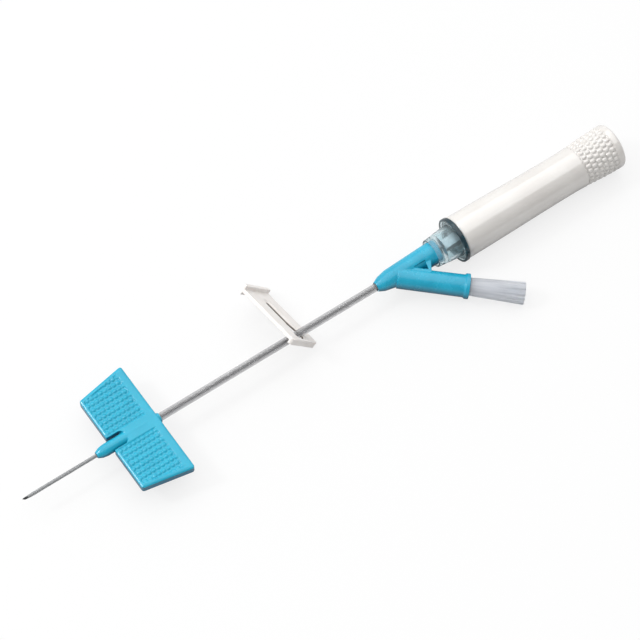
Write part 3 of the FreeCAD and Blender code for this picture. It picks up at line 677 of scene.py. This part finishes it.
def make_shield():
    """Clear needle shield: collar round the port, flange at the barrel, spigot and guide inside."""
    hole, plug_tip, plug_root, collar_bore = 0.33, 1.95, 2.11, 3.25
    collar_front, collar_rear, spigot, chamber = 3.7, 4.35, 4.2, 3.4
    flange, rim_shade_radius = 6.0, 5.45
    plug, plug_straight, floor_front, floor_rear = -2.35, 1.5, 1.85, 2.75
    sweep, flange_front, flange_rear, rear = 6.1, 6.5, 7.6, 21.6
    outline = eased([
        (plug, hole, 0.02), (plug, plug_tip, 0.15), (plug_straight, plug_root, 0.2),
        (floor_front, plug_root, 0.1), (floor_front, collar_bore, 0.2), (0.0, collar_bore, 0.1),
        (0.0, collar_front, 0.1), (sweep, collar_rear, 0.6), (flange_front, collar_rear, 0.2),
        (flange_front, rim_shade_radius, 0), (flange_front, flange, 0.2), (flange_rear, flange, 0.2),
        (flange_rear, spigot, 0.15), (rear, spigot, 0.15), (rear, chamber, 0.15),
        (floor_rear, chamber, 0.3), (floor_rear, hole, 0.02),
    ])
    outline = [(SHIELD_FRONT + x, r) for x, r in outline]
    mesh = turned("needle_shield", outline, 128)
    piece = new_piece("needle_shield", mesh, [clear_polycarbonate(), rim_shade_polycarbonate()], "shield",
                      "inner_shield")
    # Beyond this radius the flange's rim is painted near-black teal: painted shade.
    for face in mesh.polygons:
        x, y, z = face.center / MM
        if math.hypot(y, z) > rim_shade_radius and x > SHIELD_FRONT + flange_front - 0.5:
            face.material_index = 1
    return piece


def barrel_radius(x):
    """Outside of the barrel, x from its mouth: a slight waist and a wider grip."""
    mouth, waist, end = 5.75, 5.4, 6.0
    narrowest, widest = 32.6, 45.2
    if x < narrowest:
        share = (1 - math.cos(math.pi * (x - BARREL_LIP) / (narrowest - BARREL_LIP))) / 2
        return mouth + (waist - mouth) * share
    share = (1 - math.cos(math.pi * min((x - narrowest) / (widest - narrowest), 1.0))) / 2
    return waist + (end - waist) * share


def make_barrel():
    """Pull barrel: glossy hollow handle, softly waisted, with a pebbled grip and a rounded end."""
    length, grip_start, grip_end, inner_end = 48.0, 36.2, 46.2, 45.8
    bore, rim, end, skin = 4.8, 5.45, 6.0, 5.3
    columns, row_pitch, pebble_depth = 26, 1.5, 0.42
    plain_runs, grip_runs = 36, 84
    plain = [BARREL_LIP + (grip_start - BARREL_LIP) * step / plain_runs
             for step in range(plain_runs + 1)]
    rough = [grip_start + (grip_end - grip_start) * step / grip_runs
             for step in range(1, grip_runs + 1)]
    outer = [(x, barrel_radius(x), 0) for x in plain + rough]
    outline = eased([
        (0.0, bore, 0.15), (0.0, rim, 0.12), *outer, (length, end, 1.9), (length, 0.0, 0),
        (inner_end, 0.0, 0), (inner_end, bore, 0.6),
    ], steps=10)

    def rough_grip(x, reach, angle):
        around = angle / (2 * math.pi) * columns
        stones = pebbles(x - grip_start, around, row_pitch, 1.0, 0.46, 0.46)
        field = ramp(x, grip_start + 0.2, grip_start + 0.6) * (1 - ramp(x, grip_end - 0.5, grip_end))
        return reach - np.where(reach > skin, field * pebble_depth * (1 - stones), 0)

    mesh = turned("pull_barrel", outline, columns * 13, radius_at=rough_grip,
                  place=Matrix.Translation((BARREL_MOUTH, 0, 0)), sharp=50.0)
    return new_piece("pull_barrel", mesh, [barrel_plastic()], "handle", "outer_barrel")


def dress_hidden_parts():
    """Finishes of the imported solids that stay: the small pieces inside the set."""
    for node, material in (
        ("catheter_wedge", spring_steel()), ("shield_clip", spring_steel()),
        ("port_septum", seal_rubber()), ("vent_filter", sintered_disc()),
        ("needle_anchor", anchor_plastic()),
    ):
        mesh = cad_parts[node].data
        mesh.materials.clear()
        mesh.materials.append(material)


# Table, light and camera

def seen_directly(tree):
    """One where the eye, or a view through clear plastic, meets the surface."""
    path = add(tree, "ShaderNodeLightPath")
    either = add(tree, "ShaderNodeMath", {0: path.outputs["Is Camera Ray"],
                                          1: path.outputs["Is Transmission Ray"]}, operation="MAXIMUM")
    return either.outputs[0]


def make_table():
    """White table top that keeps a faint shadow and otherwise meets the backdrop."""
    size, glow, glow_share = 3.0, 1.07, 0.72
    mesh = bpy.data.meshes.new("table_top")
    mesh.from_pydata([(-size, -size, 0), (size, -size, 0), (size, size, 0), (-size, size, 0)], [],
                     [(0, 1, 2, 3)])
    table = bpy.data.objects.new("table_top", mesh)
    table.location = (SET_MIDDLE * MM, 0, TABLE * MM)
    bpy.context.scene.collection.objects.link(table)
    material, tree = new_material("white_laminate")
    lit = add(tree, "ShaderNodeBsdfDiffuse", {"Color": shade("#D2D2D2")})
    white = add(tree, "ShaderNodeEmission", {"Color": shade("#FFFFFF"), "Strength": glow})
    share = add(tree, "ShaderNodeMath", {0: seen_directly(tree), 1: glow_share},
                operation="MULTIPLY")
    mixed = add(tree, "ShaderNodeMixShader", {0: share.outputs[0], 1: lit.outputs[0],
                                              2: white.outputs[0]})
    add(tree, "ShaderNodeOutputMaterial", {"Surface": mixed.outputs[0]})
    mesh.materials.append(material)


def make_backdrop():
    """White to the eye; as light and in reflections a studio, dim in front and pale behind."""
    dim, pale = 0.36, 0.92
    world = bpy.data.worlds.new("white_studio")
    world.use_nodes = True
    tree = world.node_tree
    tree.nodes.clear()
    where = add(tree, "ShaderNodeTexCoord")
    sides = add(tree, "ShaderNodeSeparateXYZ", {0: where.outputs["Generated"]})
    studio = add(tree, "ShaderNodeMapRange", {"Value": sides.outputs["Y"], "From Min": -0.5,
                                              "From Max": 0.6, "To Min": dim, "To Max": pale})
    level = add(tree, "ShaderNodeMapRange", {"Value": seen_directly(tree),
                                             "To Min": studio.outputs["Result"], "To Max": 1.0})
    sky = add(tree, "ShaderNodeBackground", {"Color": shade("#FFFFFF"),
                                             "Strength": level.outputs["Result"]})
    add(tree, "ShaderNodeOutputWorld", {"Surface": sky.outputs[0]})
    bpy.context.scene.world = world


def add_lamp(name, direction, distance, size, energy):
    """A soft rectangular lamp that faces the middle of the set."""
    middle = Vector((SET_MIDDLE, 0, 0)) * MM
    lamp = bpy.data.lights.new(name, "AREA")
    lamp.shape = "RECTANGLE"
    lamp.size, lamp.size_y = size
    lamp.energy = energy
    holder = bpy.data.objects.new(name, lamp)
    holder.location = middle + Vector(direction).normalized() * distance
    holder.rotation_mode = "QUATERNION"
    holder.rotation_quaternion = (middle - holder.location).to_track_quat("-Z", "Y")
    bpy.context.scene.collection.objects.link(holder)


def make_camera():
    """The photograph's view: high over the set's near left side, with a long lens."""
    turn, height = math.radians(-34.6), math.radians(60.8)
    aim, distance = Vector((64.2, 0.2, 0.0)) * MM, 0.7
    back = Vector((math.sin(turn) * math.cos(height), -math.cos(turn) * math.cos(height),
                   math.sin(height)))
    lens = bpy.data.cameras.new("photo_camera")
    lens.sensor_width = 36.0
    lens.lens = 162.7
    lens.clip_start = 0.01
    camera = bpy.data.objects.new("photo_camera", lens)
    camera.location = aim + back * distance
    camera.rotation_mode = "QUATERNION"
    camera.rotation_quaternion = (-back).to_track_quat("-Z", "Y")
    bpy.context.scene.collection.objects.link(camera)
    bpy.context.scene.camera = camera


make_camera()
make_needle()
make_catheter()
make_tubing()
make_wings()
make_adapter()
make_clamp()
make_plug()
make_shield()
make_barrel()
dress_hidden_parts()
make_table()
make_backdrop()
add_lamp("overhead_softbox", (0.0, 0.216, 0.976), 1.2, (2.4, 1.84), 14.6)
add_lamp("edge_softbox", (-0.62, 0.40, 0.69), 0.9, (0.12, 0.16), 1.7)
bpy.context.scene.view_settings.view_transform = "Standard"
